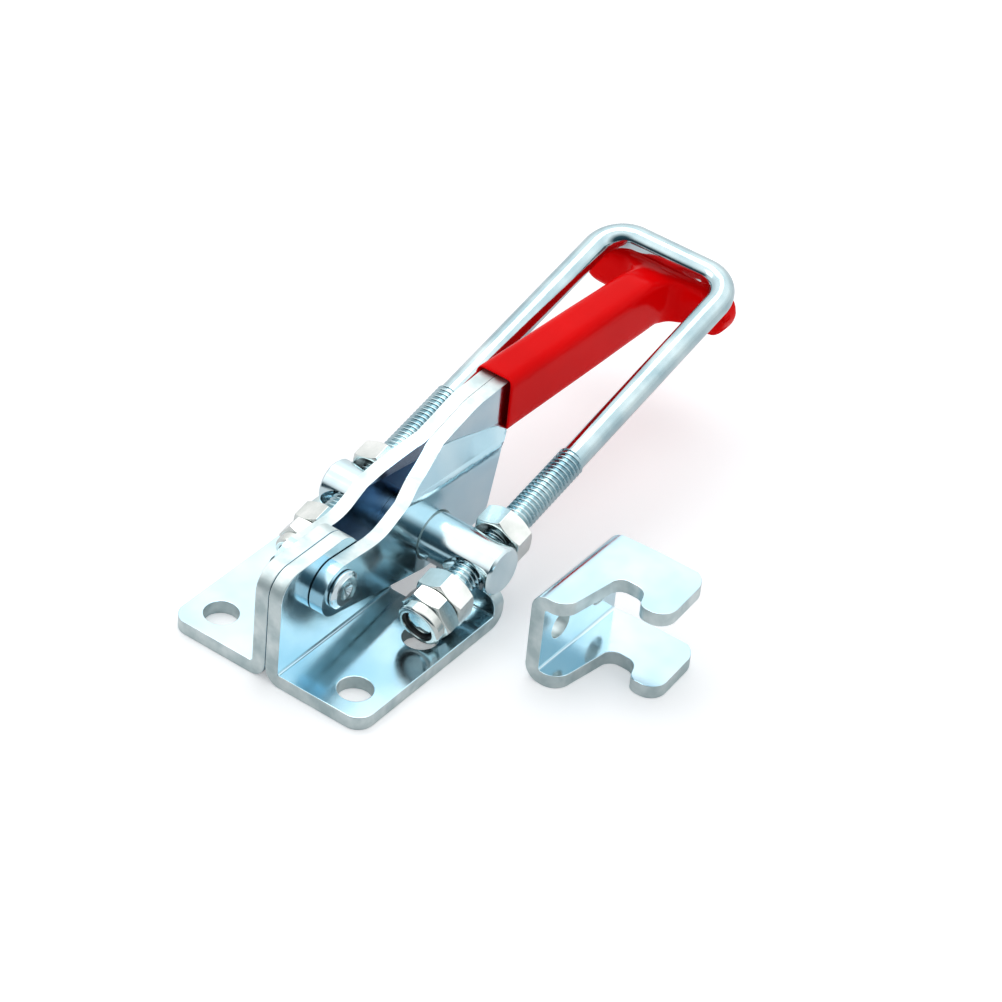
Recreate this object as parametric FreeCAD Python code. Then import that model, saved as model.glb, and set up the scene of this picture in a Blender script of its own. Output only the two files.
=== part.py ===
"""Over centre toggle latch with a T handle, an adjustable U-bolt and a separate catch plate.

Millimetres, +Z up. The origin is the centre of the base's four mounting holes, on the base's underside.
The handle and the U-bolt point to +X, the rear. +Y is the latch's left side.
"""
import FreeCAD, Part
import math
import os

from FreeCAD import Vector

# Sheet metal shared by the base, the handle and the catch plate
SHEET = 3.0
BEND_RADIUS = 0.5
SEAM = 0.1

# Base: two mirrored angle plates, back to back
HOLE_SPACING_X = 19.5
MOUNT_HOLE_DIAMETER = 6.8
FRONT_MARGIN = 6.75
SIDE_MARGIN = 6.75
BASE_LENGTH = 43.3
BASE_WIDTH = 45.5
FLANGE_CORNER_RADIUS = 3.5
LIP_HEIGHT = 7.65
LIP_CORNER_RADIUS = 3.0
LIP_GAP = 17.0
WEB_HEIGHT = 24.6
WEB_FLAT_LENGTH = 19.5
WEB_FOOT_SETBACK = 7.8
WEB_FOOT_HEIGHT = 7.0
WEB_CORNER_RADIUS = 5.0

# Pivot rivet, as distances from the base's front edge and underside
RIVET_FROM_FRONT = 13.6
RIVET_HEIGHT = 17.2
RIVET_DIAMETER = 6.0
RIVET_HEAD_DIAMETER = 7.8
RIVET_HEAD_HEIGHT = 1.1
RIVET_CROWN_WIDTH = 1.1
RIVET_CROWN_HEIGHT = 0.6
RIVET_DIMPLE_DIAMETER = 3.8
RIVET_DIMPLE_DEPTH = 0.8
RIVET_FIT = 0.05
SIDE_CLEARANCE = 0.2

# Cross pin over the base's lips, which carries the U-bolt
PIN_DROP = 4.15
PIN_DIAMETER = 9.9
PIN_END_MARGIN = 5.65
PIN_CHAMFER = 0.5
PIN_FIT = 0.08
PIN_SIDE_PLAY = 2.73
PIN_HOLE_FIT = 0.2
PLATE_HOLE_BREAK = 0.35
PIN_COUNTERSINK = 0.6

# U-bolt
ROD_DIAMETER = 5.26
THREAD_DIAMETER = 6.0
LEG_REACH = 84.6
LEG_CORNER_RADIUS = 6.5
THREAD_REACH = 29.5
LEG_OVER_GRIP = 0.96
LEG_END_RECESS = 0.9

# Nuts on the U-bolt's threads; a turn is the angle of a corner from straight sideways
NUT_ACROSS_FLATS = 10.0
NUT_FACE_DIAMETER = 9.5
NUT_HEIGHT = 5.0
NUT_TURN = -20.0
FRONT_NUT_GAP = 3.4
LOCK_NUT_HEIGHT = 6.0
LOCK_NUT_HEX_HEIGHT = 3.7
LOCK_NUT_TURN = 6.0
LOCK_NUT_COLLAR_DIAMETER = 9.4
LOCK_NUT_COLLAR_ROUND = 0.8
LOCK_NUT_MOUTH_DIAMETER = 7.0
NYLON_DIAMETER = 8.0
NYLON_HEIGHT = 1.6
NYLON_SET_BACK = 0.5
NUT_FIT = 0.04
NUT_SIDE_CLEARANCE = 0.28

# Handle: two cranked plates that spread round the base's web at the front and meet at the grip
NOSE_RADIUS = 5.6
CRANK_BEND_RADIUS = 0.9
CRANK_START = 18.0
CRANK_FRONT_LOW = 8.0
CRANK_FRONT_HIGH = 16.8
CRANK_REAR_LOW = 3.5
CRANK_REAR_HIGH = 6.4
PLATE_UNDER_PIN = 2.0
HEEL_LENGTH = 19.0
TANG_FROM_PIN = 24.7
TANG_FRONT_BOTTOM = 6.0
TANG_FRONT_TOP = 16.4
TANG_REAR_BOTTOM = 4.4
TANG_REAR_TOP = 13.6
WING_TOP = 12.0
WING_PAST_BAR = 0.46
WING_BEND_RADIUS = 4.0
WING_END_FLAT = 0.3
TANG_STEP_RADIUS = 2.0

# Corners of the handle plate's outline, as distances from the rivet, the pin or the heel
DIP_X = 12.2
DIP_Z = 4.2
DIP_RADIUS = 12.0
RISE_X = 23.0
RISE_Z = 9.6
RISE_RADIUS = 14.0
SHOULDER_PAST_PIN = 15.8
SHOULDER_Z = 15.9
SHOULDER_RADIUS = 16.0
HEEL_TOP_OVERHANG = 1.3
HEEL_TOP_DROP = 1.6
HEEL_TOP_RADIUS = 2.5
HEEL_TUCK = 2.0
HEEL_TUCK_DROP = 5.0
HEEL_TUCK_RADIUS = 3.5
BELLY_SETBACK = 1.5
BELLY_RADIUS = 12.0
CHIN_RISE = 1.2

# Grip: soft sleeve dipped over the tangs and the wings
GRIP_WALL = 1.3
GRIP_CORNER_RADIUS = 2.2
GRIP_MOUTH_GAP = 0.7
GRIP_MOUTH_DEPTH = 3.0
GRIP_END_FLAT = 0.8

# Catch plate: a channel that lies on one side, beside the latch
CATCH_HEIGHT = 20.5
CATCH_LENGTH = 25.2
CATCH_DEPTH = 23.1
CATCH_LOBE_DEPTH = 7.4
CATCH_LOBE_RADIUS = 3.8
CATCH_NOTCH_DEPTH = 14.2
CATCH_NOTCH_SLOPE = 2.3
CATCH_NOTCH_WIDTH = 5.6
CATCH_NOTCH_RADIUS = 2.6
CATCH_HOOK_SETBACK = 9.8
CATCH_HOOK_WIDTH = 6.2
CATCH_HOOK_INNER_RADIUS = 2.2
CATCH_HOOK_OUTER_RADIUS = 3.6
CATCH_TAPER = 0.6
CATCH_EDGE_TAPER = 1.1
CATCH_CORNER_RADIUS = 4.5
CATCH_HOLE_DIAMETER = 5.5
CATCH_HOLE_SPACING = 13.0
CATCH_FRONT_X = 17.0
CATCH_BACK_Y = -35.0

# Places that follow from the sizes above
HOLE_SPACING_Y = BASE_WIDTH - 2 * SIDE_MARGIN
FRONT_X = -(HOLE_SPACING_X / 2 + FRONT_MARGIN)
LIP_REAR_X = FRONT_X + BASE_LENGTH
LIP_FRONT_X = LIP_REAR_X - SHEET
RIVET_X = FRONT_X + RIVET_FROM_FRONT
PIN_X = LIP_REAR_X - SHEET / 2
PIN_Z = RIVET_HEIGHT - PIN_DROP
WEB_FACE_Y = SEAM / 2 + SHEET
SPREAD_Y = WEB_FACE_Y + SIDE_CLEARANCE
SPREAD_FACE_Y = SPREAD_Y + SHEET
WEB_FOOT_X = PIN_X - WEB_FOOT_SETBACK
NUT_CORNER_RADIUS = NUT_ACROSS_FLATS / math.sqrt(3)
PIN_SIDE_FLOAT = PIN_SIDE_PLAY - NUT_SIDE_CLEARANCE
LEG_SPACING = 2 * (SPREAD_FACE_Y + NUT_CORNER_RADIUS + PIN_SIDE_PLAY)
PIN_LENGTH = LEG_SPACING + 2 * PIN_END_MARGIN
BAR_Z = RIVET_HEIGHT + WING_TOP + GRIP_WALL + LEG_OVER_GRIP + ROD_DIAMETER / 2
LEG_TILT = math.asin((BAR_Z - PIN_Z) / LEG_REACH)
BAR_X = PIN_X + LEG_REACH * math.cos(LEG_TILT)
WING_HALF_WIDTH = LEG_SPACING / 2 + PIN_SIDE_FLOAT
TANG_X = PIN_X + TANG_FROM_PIN
WING_REAR_X = BAR_X + WING_PAST_BAR + SHEET / 2
WING_FRONT_X = WING_REAR_X - SHEET
WING_BEND_X = WING_FRONT_X - WING_BEND_RADIUS
GRIP_HALF_WIDTH = WEB_FACE_Y + GRIP_WALL
PIN_HOLE_DIAMETER = PIN_DIAMETER + 2 * PIN_FIT
FRONT_NUT_START = -(PIN_DIAMETER / 2 + FRONT_NUT_GAP + NUT_HEIGHT)
LOCK_NUT_START = FRONT_NUT_START - LOCK_NUT_HEIGHT
CRANK_X = RIVET_X + CRANK_START


def cylinder(diameter, start, end):
    """A cylinder between two points."""
    axis = end - start
    return Part.makeCylinder(diameter / 2, axis.Length, start, axis)


def block(x_range, y_range, z_range):
    """A box from the low and high value along each axis."""
    low = Vector(x_range[0], y_range[0], z_range[0])
    size = Vector(x_range[1], y_range[1], z_range[1]) - low
    return Part.makeBox(size.x, size.y, size.z, low)


def rounded_wire(corners, to_space):
    """A closed outline through (a, b, radius) corners; to_space turns (a, b) into a point."""
    count = len(corners)
    stops = []
    for index, (a, b, radius) in enumerate(corners):
        here = Vector(a, b, 0)
        back = Vector(*corners[index - 1][:2], 0) - here
        ahead = Vector(*corners[(index + 1) % count][:2], 0) - here
        half_angle = back.getAngle(ahead) / 2
        reach = radius / math.tan(half_angle)
        middle = (back.normalize() + ahead.normalize()).normalize()
        depth = radius / math.sin(half_angle) - radius
        stops.append((here + back * reach, here + middle * depth, here + ahead * reach, radius))
    edges = []
    for index, (start, mid, end, radius) in enumerate(stops):
        following = stops[(index + 1) % count][0]
        if radius > 0:
            points = [to_space(point.x, point.y) for point in (start, mid, end)]
            edges.append(Part.Arc(*points).toShape())
        edges.append(Part.makeLine(to_space(end.x, end.y), to_space(following.x, following.y)))
    return Part.Wire(edges)


def side_prism(corners, y_low, y_high):
    """A solid with a rounded outline in the XZ plane, between two Y values."""
    wire = rounded_wire(corners, lambda x, z: Vector(x, y_low, z))
    return Part.Face(wire).extrude(Vector(0, y_high - y_low, 0))


def plan_prism(corners, z_low, z_high):
    """A solid with a rounded outline in the XY plane, between two Z values."""
    wire = rounded_wire(corners, lambda x, y: Vector(x, y, z_low))
    return Part.Face(wire).extrude(Vector(0, 0, z_high - z_low))


def front_prism(corners, x_low, x_high):
    """A solid with a rounded outline in the YZ plane, between two X values."""
    wire = rounded_wire(corners, lambda y, z: Vector(x_low, y, z))
    return Part.Face(wire).extrude(Vector(x_high - x_low, 0, 0))


def mirrored(shape):
    """The shape's twin on the other side of the latch's middle plane."""
    return shape.mirror(Vector(0, 0, 0), Vector(0, 1, 0))


def base_plate():
    """Left base plate: an angle with a rounded web, a notched flange and an upturned rear lip."""
    outer_bend = SHEET + BEND_RADIUS
    half_width = BASE_WIDTH / 2
    angle = front_prism([
        (SEAM / 2, 0, outer_bend),
        (half_width, 0, 0),
        (half_width, SHEET, 0),
        (WEB_FACE_Y, SHEET, BEND_RADIUS),
        (WEB_FACE_Y, WEB_HEIGHT, 0),
        (SEAM / 2, WEB_HEIGHT, 0),
    ], FRONT_X, WEB_FOOT_X)
    web_outline = side_prism([
        (FRONT_X, 0, 0),
        (FRONT_X, WEB_HEIGHT, WEB_CORNER_RADIUS),
        (FRONT_X + WEB_FLAT_LENGTH, WEB_HEIGHT, WEB_CORNER_RADIUS),
        (WEB_FOOT_X, WEB_FOOT_HEIGHT, 0),
        (WEB_FOOT_X, 0, 0),
    ], 0, half_width)
    rear = side_prism([
        (WEB_FOOT_X - SHEET, 0, 0),
        (LIP_REAR_X, 0, outer_bend),
        (LIP_REAR_X, LIP_HEIGHT, 0),
        (LIP_FRONT_X, LIP_HEIGHT, 0),
        (LIP_FRONT_X, SHEET, BEND_RADIUS),
        (WEB_FOOT_X - SHEET, SHEET, 0),
    ], LIP_GAP / 2, half_width)
    lip_outline = front_prism([
        (LIP_GAP / 2, 0, 0),
        (half_width, 0, 0),
        (half_width, LIP_HEIGHT, LIP_CORNER_RADIUS),
        (LIP_GAP / 2, LIP_HEIGHT, 0),
    ], FRONT_X, LIP_REAR_X)
    plan = plan_prism([
        (FRONT_X, 0, 0),
        (LIP_REAR_X, 0, 0),
        (LIP_REAR_X, half_width, 0),
        (FRONT_X, half_width, FLANGE_CORNER_RADIUS),
    ], 0, WEB_HEIGHT)
    plate = angle.common(web_outline).fuse(rear.common(lip_outline)).common(plan)
    for x in (-HOLE_SPACING_X / 2, HOLE_SPACING_X / 2):
        centre = Vector(x, HOLE_SPACING_Y / 2, 0)
        plate = plate.cut(cylinder(MOUNT_HOLE_DIAMETER, centre, centre + Vector(0, 0, SHEET)))
    plate = plate.cut(rivet_bore(0, WEB_FACE_Y))
    return plate.removeSplitter()


def rivet_bore(y_low, y_high):
    """The hole for the rivet's shank between two Y values."""
    diameter = RIVET_DIAMETER + 2 * RIVET_FIT
    return cylinder(diameter, Vector(RIVET_X, y_low, RIVET_HEIGHT), Vector(RIVET_X, y_high, RIVET_HEIGHT))


def pivot_rivet():
    """Rivet through both handle plates and both webs, with a dimpled head at each end."""
    head_y = SPREAD_FACE_Y + SIDE_CLEARANCE
    centre = Vector(RIVET_X, 0, RIVET_HEIGHT)
    end = Vector(0, head_y + RIVET_HEAD_HEIGHT, 0)
    crown_start = centre + end - Vector(0, RIVET_CROWN_HEIGHT, 0)
    shank = cylinder(RIVET_DIAMETER, centre - end, centre + end)
    head = cylinder(RIVET_HEAD_DIAMETER, centre + Vector(0, head_y, 0), crown_start)
    crown = Part.makeCone(RIVET_HEAD_DIAMETER / 2, RIVET_HEAD_DIAMETER / 2 - RIVET_CROWN_WIDTH,
                          RIVET_CROWN_HEIGHT, crown_start, Vector(0, 1, 0))
    dimple = Part.makeCone(0, RIVET_DIMPLE_DIAMETER / 2, RIVET_DIMPLE_DEPTH,
                           centre + end - Vector(0, RIVET_DIMPLE_DEPTH, 0), Vector(0, 1, 0))
    left_head = head.fuse(crown)
    rivet = shank.fuse(left_head).fuse(mirrored(left_head)).cut(dimple).cut(mirrored(dimple))
    return rivet.removeSplitter()


def crank_section(x, low_z, high_z):
    """Section at x of the bent strip between the spread part and the part against the seam.

    Returns its wire and the heights at which the strip starts and ends.
    """
    mean_radius = CRANK_BEND_RADIUS + SHEET / 2
    spread_mid = SPREAD_Y + SHEET / 2
    closed_mid = SEAM / 2 + SHEET / 2
    slope = math.atan2(spread_mid - closed_mid, high_z - low_z)
    tangent = mean_radius * math.tan(slope / 2)
    toward = Vector(0, math.cos(slope), math.sin(slope))
    half_turn = Vector(0, math.cos(slope / 2), math.sin(slope / 2))
    low_centre = Vector(x, spread_mid - mean_radius, low_z - tangent)
    high_centre = Vector(x, closed_mid + mean_radius, high_z + tangent)
    edges = []
    ends = []
    for low_radius, high_radius in ((mean_radius + SHEET / 2, CRANK_BEND_RADIUS),
                                    (CRANK_BEND_RADIUS, mean_radius + SHEET / 2)):
        low_start = low_centre + Vector(0, low_radius, 0)
        low_end = low_centre + toward * low_radius
        high_start = high_centre - toward * high_radius
        high_end = high_centre - Vector(0, high_radius, 0)
        edges.append(Part.Arc(low_start, low_centre + half_turn * low_radius, low_end).toShape())
        edges.append(Part.makeLine(low_end, high_start))
        edges.append(Part.Arc(high_start, high_centre - half_turn * high_radius, high_end).toShape())
        ends.append((low_start, high_end))
    edges.append(Part.makeLine(ends[0][0], ends[1][0]))
    edges.append(Part.makeLine(ends[0][1], ends[1][1]))
    return Part.Wire(Part.__sortEdges__(edges)), low_centre.z, high_centre.z


def cranked_sheet():
    """Sheet of the left plate from its nose to its tang: spread flat, crank and closed flat."""
    front = crank_section(CRANK_X, RIVET_HEIGHT + CRANK_FRONT_LOW, RIVET_HEIGHT + CRANK_FRONT_HIGH)
    rear = crank_section(TANG_X, RIVET_HEIGHT + CRANK_REAR_LOW, RIVET_HEIGHT + CRANK_REAR_HIGH)
    nose_x = RIVET_X - 2 * NOSE_RADIUS
    top_z = RIVET_HEIGHT + 2 * TANG_FRONT_TOP
    spread = side_prism([
        (nose_x, 0, 0),
        (nose_x, front[1], 0),
        (CRANK_X, front[1], 0),
        (TANG_X, rear[1], 0),
        (TANG_X, 0, 0),
    ], SPREAD_Y, SPREAD_FACE_Y)
    closed = side_prism([
        (CRANK_X, top_z, 0),
        (CRANK_X, front[2], 0),
        (TANG_X, rear[2], 0),
        (TANG_X, top_z, 0),
    ], SEAM / 2, WEB_FACE_Y)
    crank = Part.makeLoft([front[0], rear[0]], True, True)
    return spread, crank, closed


def handle_outline():
    """Side outline of the cranked part of a handle plate, as a solid wider than the handle."""
    pin_bottom = PIN_Z - PIN_HOLE_DIAMETER / 2 - PLATE_UNDER_PIN
    tang_bottom = RIVET_HEIGHT + TANG_FRONT_BOTTOM
    tang_top = RIVET_HEIGHT + TANG_FRONT_TOP
    heel_x = PIN_X + HEEL_LENGTH
    return side_prism([
        (RIVET_X - NOSE_RADIUS, RIVET_HEIGHT + NOSE_RADIUS, NOSE_RADIUS),
        (RIVET_X + DIP_X, RIVET_HEIGHT + DIP_Z, DIP_RADIUS),
        (RIVET_X + RISE_X, RIVET_HEIGHT + RISE_Z, RISE_RADIUS),
        (PIN_X + SHOULDER_PAST_PIN, RIVET_HEIGHT + SHOULDER_Z, SHOULDER_RADIUS),
        (TANG_X, tang_top, 0),
        (TANG_X, tang_bottom, 0),
        (heel_x + HEEL_TOP_OVERHANG, tang_bottom - HEEL_TOP_DROP, HEEL_TOP_RADIUS),
        (heel_x - HEEL_TUCK, PIN_Z - HEEL_TUCK_DROP, HEEL_TUCK_RADIUS),
        (PIN_X - BELLY_SETBACK, pin_bottom, BELLY_RADIUS),
        (RIVET_X - NOSE_RADIUS, RIVET_HEIGHT - NOSE_RADIUS + CHIN_RISE, NOSE_RADIUS - CHIN_RISE),
    ], 0, 2 * SPREAD_FACE_Y)


def wing_radius(bottom, top):
    """Corner radius that leaves a wing's end almost fully round."""
    return (top - bottom - WING_END_FLAT) / 2


def tang():
    """Flat rear strip of the left plate, which bends outwards into its wing."""
    low = SEAM / 2
    strip = side_prism([
        (TANG_X, RIVET_HEIGHT + TANG_FRONT_BOTTOM, 0),
        (TANG_X, RIVET_HEIGHT + TANG_FRONT_TOP, 0),
        (WING_BEND_X - WING_BEND_RADIUS, RIVET_HEIGHT + TANG_REAR_TOP, TANG_STEP_RADIUS),
        (WING_BEND_X, RIVET_HEIGHT + WING_TOP, 0),
        (WING_BEND_X, RIVET_HEIGHT + TANG_REAR_BOTTOM, 0),
    ], low, low + SHEET)
    bend_face = Part.Face(Part.makePolygon([
        Vector(WING_BEND_X, low, RIVET_HEIGHT + TANG_REAR_BOTTOM),
        Vector(WING_BEND_X, low + SHEET, RIVET_HEIGHT + TANG_REAR_BOTTOM),
        Vector(WING_BEND_X, low + SHEET, RIVET_HEIGHT + WING_TOP),
        Vector(WING_BEND_X, low, RIVET_HEIGHT + WING_TOP),
        Vector(WING_BEND_X, low, RIVET_HEIGHT + TANG_REAR_BOTTOM),
    ]))
    bend_axis = Vector(WING_BEND_X, low + SHEET + WING_BEND_RADIUS, 0)
    bend = bend_face.revolve(bend_axis, Vector(0, 0, 1), 90)
    bottom = RIVET_HEIGHT + TANG_REAR_BOTTOM
    top = RIVET_HEIGHT + WING_TOP
    radius = wing_radius(bottom, top)
    wing = front_prism([
        (bend_axis.y, bottom, 0),
        (WING_HALF_WIDTH - GRIP_WALL, bottom, radius),
        (WING_HALF_WIDTH - GRIP_WALL, top, radius),
        (bend_axis.y, top, 0),
    ], WING_FRONT_X, WING_REAR_X)
    return strip.fuse(bend).fuse(wing)


def handle_plate():
    """Left handle plate: cranked front part with the rivet and pin holes, tang and wing."""
    outline = handle_outline()
    plate = tang()
    for sheet in cranked_sheet():
        plate = plate.fuse(sheet.common(outline))
    pin_hole = cylinder(PIN_HOLE_DIAMETER, Vector(PIN_X, 0, PIN_Z), Vector(PIN_X, 2 * SPREAD_FACE_Y, PIN_Z))
    broken_edge = Part.makeCone(PIN_HOLE_DIAMETER / 2 + PLATE_HOLE_BREAK, PIN_HOLE_DIAMETER / 2, PLATE_HOLE_BREAK,
                                Vector(PIN_X, SPREAD_FACE_Y, PIN_Z), Vector(0, -1, 0))
    plate = plate.cut(pin_hole).cut(broken_edge).cut(rivet_bore(0, 2 * SPREAD_FACE_Y))
    return plate.removeSplitter()


def grip_section(x, bottom, top):
    """Rounded rectangle across the grip at x."""
    half = GRIP_HALF_WIDTH
    radius = GRIP_CORNER_RADIUS
    corners = [(-half, bottom, radius), (half, bottom, radius), (half, top, radius), (-half, top, radius)]
    return rounded_wire(corners, lambda y, z: Vector(x, y, z))


def grip(plates):
    """Sleeve over both tangs and wings, with a T end, hollowed by the plates inside it."""
    front_bottom = RIVET_HEIGHT + TANG_FRONT_BOTTOM - GRIP_WALL
    front_top = RIVET_HEIGHT + TANG_FRONT_TOP + GRIP_WALL
    rear_bottom = RIVET_HEIGHT + TANG_REAR_BOTTOM - GRIP_WALL
    rear_top = RIVET_HEIGHT + TANG_REAR_TOP + GRIP_WALL
    wing_top = RIVET_HEIGHT + WING_TOP + GRIP_WALL
    stem_end = WING_BEND_X - WING_BEND_RADIUS
    t_front = WING_FRONT_X - GRIP_WALL
    t_rear = WING_REAR_X + GRIP_WALL
    stem = Part.makeLoft([
        grip_section(TANG_X, front_bottom, front_top),
        grip_section(stem_end, rear_bottom, rear_top),
    ], True, True)
    neck = Part.makeLoft([
        grip_section(stem_end, rear_bottom, rear_top),
        grip_section(WING_FRONT_X, rear_bottom, wing_top),
    ], True, True)
    t_radius = (t_rear - t_front - GRIP_END_FLAT) / 2
    t_bar = side_prism([
        (t_front, rear_bottom, t_radius),
        (t_rear, rear_bottom, t_radius),
        (t_rear, wing_top, t_radius),
        (t_front, wing_top, t_radius),
    ], -WING_HALF_WIDTH, WING_HALF_WIDTH)
    end_radius = wing_radius(rear_bottom, wing_top)
    t_outline = front_prism([
        (-WING_HALF_WIDTH, rear_bottom, end_radius),
        (WING_HALF_WIDTH, rear_bottom, end_radius),
        (WING_HALF_WIDTH, wing_top, end_radius),
        (-WING_HALF_WIDTH, wing_top, end_radius),
    ], t_front, t_rear)
    sleeve = stem.fuse(neck).fuse(t_bar.common(t_outline))
    bend_y = WEB_FACE_Y + WING_BEND_RADIUS
    inside = WING_BEND_RADIUS - GRIP_WALL
    for side in (-1, 1):
        y_range = sorted((side * WEB_FACE_Y, side * bend_y))
        corner = block((WING_BEND_X, WING_FRONT_X), y_range, (rear_bottom, wing_top))
        hollow = cylinder(2 * inside, Vector(WING_BEND_X, side * bend_y, rear_bottom),
                          Vector(WING_BEND_X, side * bend_y, wing_top))
        sleeve = sleeve.fuse(corner.cut(hollow))
    gap = GRIP_MOUTH_GAP
    mouth = block((TANG_X, TANG_X + GRIP_MOUTH_DEPTH), (-WEB_FACE_Y - gap, WEB_FACE_Y + gap),
                  (front_bottom + GRIP_WALL - gap, front_top - GRIP_WALL + gap))
    for piece in plates:
        sleeve = sleeve.cut(piece)
    seam = block((TANG_X, WING_BEND_X), (-SEAM / 2, SEAM / 2),
                 (front_bottom + GRIP_WALL, wing_top - GRIP_WALL))
    return sleeve.cut(mouth).cut(seam).removeSplitter()


def place_on_pin(shape):
    """Moves a piece built along the legs' own X axis, with the pin at the origin, to its place."""
    placed = shape.copy()
    placed.rotate(Vector(0, 0, 0), Vector(0, 1, 0), -math.degrees(LEG_TILT))
    placed.translate(Vector(PIN_X, -PIN_SIDE_FLOAT, PIN_Z))
    return placed


def cross_pin():
    """Pin across the handle with chamfered ends and two countersunk holes for the U-bolt's legs."""
    half = PIN_LENGTH / 2
    body = cylinder(PIN_DIAMETER, Vector(0, PIN_CHAMFER - half, 0), Vector(0, half - PIN_CHAMFER, 0))
    radius = PIN_DIAMETER / 2
    for side in (-1, 1):
        start = Vector(0, side * (half - PIN_CHAMFER), 0)
        body = body.fuse(Part.makeCone(radius, radius - PIN_CHAMFER, PIN_CHAMFER, start, Vector(0, side, 0)))
    hole = THREAD_DIAMETER + 2 * PIN_HOLE_FIT
    sink_depth = radius - math.sqrt(radius ** 2 - (hole / 2) ** 2) + PIN_COUNTERSINK
    for side in (-1, 1):
        y = side * LEG_SPACING / 2
        body = body.cut(cylinder(hole, Vector(-radius, y, 0), Vector(radius, y, 0)))
        for end in (-1, 1):
            sink = Part.makeCone(hole / 2 + sink_depth, hole / 2, sink_depth,
                                 Vector(end * radius, y, 0), Vector(-end, 0, 0))
            body = body.cut(sink)
    return place_on_pin(body)


def u_bolt():
    """Bent rod with rolled threads on its two legs, which end inside the lock nuts' mouths."""
    half = LEG_SPACING / 2
    reach = LEG_REACH
    turn = LEG_CORNER_RADIUS
    shift = turn * (1 - math.sqrt(0.5))
    start = LOCK_NUT_START + LEG_END_RECESS
    edges = [
        Part.makeLine(Vector(THREAD_REACH, -half, 0), Vector(reach - turn, -half, 0)),
        Part.Arc(Vector(reach - turn, -half, 0), Vector(reach - shift, shift - half, 0),
                 Vector(reach, turn - half, 0)).toShape(),
        Part.makeLine(Vector(reach, turn - half, 0), Vector(reach, half - turn, 0)),
        Part.Arc(Vector(reach, half - turn, 0), Vector(reach - shift, half - shift, 0),
                 Vector(reach - turn, half, 0)).toShape(),
        Part.makeLine(Vector(reach - turn, half, 0), Vector(THREAD_REACH, half, 0)),
    ]
    circle = Part.Wire([Part.makeCircle(ROD_DIAMETER / 2, Vector(THREAD_REACH, -half, 0), Vector(1, 0, 0))])
    rod = Part.Wire(edges).makePipeShell([circle], True, True)
    for side in (-1, 1):
        rod = rod.fuse(cylinder(THREAD_DIAMETER, Vector(start, side * half, 0),
                                Vector(THREAD_REACH, side * half, 0)))
    return place_on_pin(rod.removeSplitter())


def hexagon(height, turn):
    """Hexagonal prism along +X with chamfered corners, one of them at the turn's angle from sideways."""
    corner = NUT_CORNER_RADIUS
    angles = [math.radians(60 * step + turn) for step in range(7)]
    points = [Vector(0, corner * math.cos(angle), corner * math.sin(angle)) for angle in angles]
    prism = Part.Face(Part.makePolygon(points)).extrude(Vector(height, 0, 0))
    face = NUT_FACE_DIAMETER / 2
    wide = face + height / math.tan(math.radians(30))
    for near, far in ((face, wide), (wide, face)):
        prism = prism.common(Part.makeCone(near, far, height, Vector(0, 0, 0), Vector(1, 0, 0)))
    return prism


def nut_bore(height):
    """The threaded hole of a nut, at the thread's outer size."""
    return cylinder(THREAD_DIAMETER + 2 * NUT_FIT, Vector(0, 0, 0), Vector(height, 0, 0))


def plain_nut(offset, side):
    """Plain nut whose front face stands at offset along a leg."""
    nut = hexagon(NUT_HEIGHT, NUT_TURN).cut(nut_bore(NUT_HEIGHT))
    nut.translate(Vector(offset, side * LEG_SPACING / 2, 0))
    return place_on_pin(nut)


def lock_nut(side):
    """Lock nut in front of the front nut; its collar holds the nylon ring behind a turned-in mouth."""
    height = LOCK_NUT_HEIGHT
    collar_height = height - LOCK_NUT_HEX_HEIGHT
    body = hexagon(LOCK_NUT_HEX_HEIGHT, LOCK_NUT_TURN)
    body.translate(Vector(collar_height, 0, 0))
    collar = cylinder(LOCK_NUT_COLLAR_DIAMETER, Vector(0, 0, 0), Vector(height, 0, 0))
    rim = [edge for edge in collar.Edges if edge.BoundBox.XMax < collar_height / 2]
    collar = collar.makeFillet(LOCK_NUT_COLLAR_ROUND, rim)
    pocket = cylinder(NYLON_DIAMETER, Vector(NYLON_SET_BACK, 0, 0),
                      Vector(NYLON_SET_BACK + NYLON_HEIGHT, 0, 0))
    mouth = cylinder(LOCK_NUT_MOUTH_DIAMETER, Vector(0, 0, 0), Vector(NYLON_SET_BACK, 0, 0))
    nut = body.fuse(collar).cut(nut_bore(height)).cut(pocket).cut(mouth)
    nut.translate(Vector(LOCK_NUT_START, side * LEG_SPACING / 2, 0))
    return place_on_pin(nut)


def nylon_ring(side):
    """Ring in the lock nut's collar that grips the thread."""
    outer = cylinder(NYLON_DIAMETER, Vector(0, 0, 0), Vector(NYLON_HEIGHT, 0, 0))
    ring = outer.cut(nut_bore(NYLON_HEIGHT))
    ring.translate(Vector(LOCK_NUT_START + NYLON_SET_BACK, side * LEG_SPACING / 2, 0))
    return place_on_pin(ring)


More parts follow.
